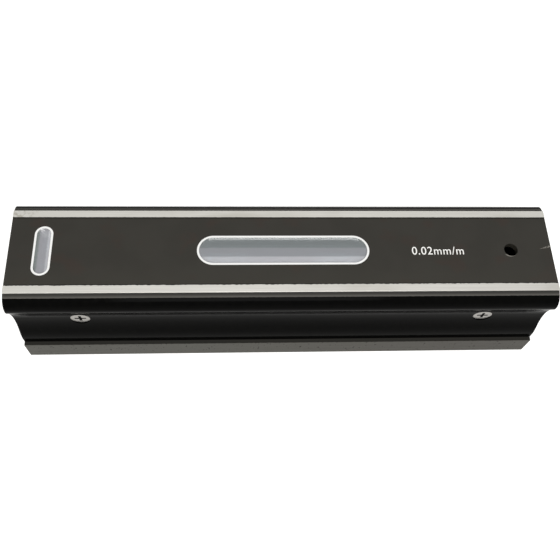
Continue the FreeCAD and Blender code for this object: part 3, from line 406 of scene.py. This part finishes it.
# Drawn borosilicate tube: clear with faint lengthways streaks.
tube = {"dark": "eaf1f0", "pale": "f8fbfb", "rough": 0.04, "ior": 1.47, "clearness": 1.0}
dress(makeClear("vialGlass", tube), "main_vial_tube", "cross_vial_tube")

# Spirit: clear, a trace of grey-green.
spirit = {"dark": "dde6e6", "pale": "eaf1f1", "rough": 0.01, "ior": 1.36, "clearness": 1.0}
dress(makeClear("vialSpirit", spirit), "main_spirit", "cross_spirit")

# Vapour bubble: clear.
vapour = {"dark": "f6fafa", "pale": "ffffff", "rough": 0.01, "ior": 1.01, "clearness": 1.0}
dress(makeClear("vialBubble", vapour), "main_bubble", "cross_bubble")
print("windows and vials dressed")


marking = {"words": "0.02mm/m", "left": 46.9, "right": 66.4, "middleY": -0.2, "capHeight": 3.4,
           "thick": 0.02, "bolder": 0.002, "spacing": 1.09,
           "faceCapital": 0.729}  # height of a capital in the built-in face at size 1
# Screen-printing ink: matt white, a little thin every half millimetre.
screenInk = {"dark": "e6e5e0", "pale": "fbfaf6", "size": 0.5, "rough": (0.5, 0.65),
             "metal": 0.0, "relief": 0.004}


def makeMarking():
    # the value of one division, on the cover
    curve = bpy.data.curves.new("divisionText", "FONT")
    curve.body = marking["words"]
    curve.offset, curve.space_character = marking["bolder"], marking["spacing"]
    text = bpy.data.objects.new("divisionText", curve)
    bpy.context.scene.collection.objects.link(text)
    bpy.context.view_layer.update()
    lowX, highX = (pick(corner[0] for corner in text.bound_box) for pick in (min, max))
    wide = (marking["right"] - marking["left"]) * mm / (highX - lowX)
    tall = marking["capHeight"] * mm / marking["faceCapital"]
    mesh = bpy.data.meshes.new_from_object(text.evaluated_get(bpy.context.evaluated_depsgraph_get()))
    bpy.data.objects.remove(text)
    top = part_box("cover_plate")[1][2] + marking["thick"] * mm
    baseY = (marking["middleY"] - marking["capHeight"] / 2) * mm
    for vertex in mesh.vertices:
        alongX = marking["left"] * mm + (vertex.co.x - lowX) * wide
        vertex.co = Vector((alongX, baseY + vertex.co.y * tall, top))
    words = bpy.data.objects.new("divisionText", mesh)
    bpy.context.scene.collection.objects.link(words)
    mesh.materials.clear()
    mesh.materials.append(makeGrained("screenInk", screenInk))
    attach(words, "level_body")


makeMarking()


# thin arcs round each tube; angles are from straight up, towards the near side or the adjusting screw
mainScale = {"tube": "main_vial_tube", "first": 15.5, "pitch": 2.0, "count": 6, "width": 0.22,
             "from": 20, "to": 75, "thick": 0.02, "parts": 14}
crossScale = {"tube": "cross_vial_tube", "first": 3.2, "pitch": 1.6, "count": 2, "width": 0.2,
              "from": -70, "to": 70, "thick": 0.015, "parts": 14}
# Fired vial ink: matt black, slightly broken.
vialInk = {"dark": "15171a", "pale": "2a2d31", "size": 0.4, "rough": (0.5, 0.7),
           "metal": 0.0, "relief": 0.004}


def makeScale(name, scale, alongX, body):
    low, high = (Vector(corner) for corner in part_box(scale["tube"]))
    middle = (low + high) / 2
    reach = (high.z - low.z) / 2 + scale["thick"] * mm
    verts, faces = [], []
    for hand in (-1, 1):
        for line in range(scale["count"]):
            at = hand * (scale["first"] + line * scale["pitch"]) * mm
            for i in range(scale["parts"] + 1):
                turn = math.radians(scale["from"] + (scale["to"] - scale["from"]) * i / scale["parts"])
                out, up = reach * math.sin(turn), reach * math.cos(turn)
                for edge in (at - scale["width"] * mm / 2, at + scale["width"] * mm / 2):
                    verts.append(middle + Vector((edge, -out, up) if alongX else (out, edge, up)))
                if i:
                    last = len(verts) - 4
                    faces.append((last, last + 1, last + 3, last + 2))
    mesh = bpy.data.meshes.new(name)
    mesh.from_pydata(verts, [], faces)
    lines = bpy.data.objects.new(name, mesh)
    bpy.context.scene.collection.objects.link(lines)
    mesh.materials.append(makeGrained(name + "Ink", vialInk))
    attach(lines, body)


makeScale("mainGraduations", mainScale, True, "carrier")
makeScale("crossGraduations", crossScale, False, "level_body")
print("marking and graduations made")


studio = {"paper": "e9e8e4", "paperPale": "ecebe8", "fibreSize": 3, "floorSize": 4000,
          "glow": 0.5, "worldFill": 0.4,  # what the eye sees of the floor, and what the world lights
          "lampPower": 6.0, "lampLong": 700, "lampWide": 330,
          "lampFrom": (0, -330, 600), "lampTo": (0, 0, 20)}


def makeFloor():
    # Seamless paper: plain, matt, nearly white, with a glow only for eyes and reflections.
    mesh = bpy.data.meshes.new("floor")
    half = studio["floorSize"] * mm / 2
    corners = [(-half, -half, 0), (half, -half, 0), (half, half, 0), (-half, half, 0)]
    mesh.from_pydata(corners, [], [(0, 1, 2, 3)])
    floor = bpy.data.objects.new("floor", mesh)
    bpy.context.scene.collection.objects.link(floor)
    material, add, place = startMaterial("seamlessPaper")
    fibres = add("TexNoise", {"Vector": place, "Scale": 1 / studio["fibreSize"], "Detail": 3})
    shade = add("Mix", {"Factor": fibres, "A": linear(studio["paper"]),
                        "B": linear(studio["paperPale"])}, **colour)
    glow = add("Math", [eyeRays(add), studio["glow"]], operation="MULTIPLY")
    add("OutputMaterial", {"Surface": add("BsdfPrincipled", {
        "Base Color": shade, "Roughness": 0.9, "Specular IOR Level": 0.1,
        "Emission Color": (1, 1, 1, 1), "Emission Strength": glow})})
    mesh.materials.append(material)


def makeWorld():
    world = bpy.data.worlds.new("studio")
    world.use_nodes = True
    world.node_tree.nodes.clear()
    add = partial(addNode, world.node_tree)
    extra = add("Math", [eyeRays(add), 1 - studio["worldFill"]], operation="MULTIPLY")
    strength = add("Math", [extra, studio["worldFill"]], operation="ADD")
    add("OutputWorld", {"Surface": add("Background", {"Color": (1, 1, 1, 1), "Strength": strength})})
    bpy.context.scene.world = world


def makeLamp():
    # one large soft box above, a little towards the near side
    light = bpy.data.lights.new("softBox", "AREA")
    light.shape = "RECTANGLE"
    light.size, light.size_y = studio["lampLong"] * mm, studio["lampWide"] * mm
    light.energy = studio["lampPower"] * light.size * light.size_y * math.pi
    lamp = bpy.data.objects.new("softBox", light)
    lamp.location = Vector(studio["lampFrom"]) * mm
    aim = lamp.location - Vector(studio["lampTo"]) * mm
    lamp.rotation_euler = aim.to_track_quat("Z", "X").to_euler()
    bpy.context.scene.collection.objects.link(lamp)


viewpoint = {"at": (-19.0045, -127.1341, 281.8482), "lens": 47.15, "sensor": 36,
             "forward": (0.06235422, 0.43567171, -0.89794327), "right": (0.99804237, -0.03157815, 0.05398387)}


def makeCamera():
    camera = bpy.data.cameras.new("camera")
    camera.lens, camera.sensor_width = viewpoint["lens"], viewpoint["sensor"]
    camera.clip_start, camera.clip_end = 0.01, 20
    eye = bpy.data.objects.new("camera", camera)
    forward, right = Vector(viewpoint["forward"]), Vector(viewpoint["right"])
    turn = Matrix((right, right.cross(forward), -forward)).transposed()
    eye.matrix_world = Matrix.Translation(Vector(viewpoint["at"]) * mm) @ turn.to_4x4()
    bpy.context.scene.collection.objects.link(eye)
    bpy.context.scene.camera = eye


makeFloor()
makeWorld()
makeLamp()
makeCamera()
bpy.context.scene.view_settings.view_transform = "Standard"
print("floor, light and camera set")
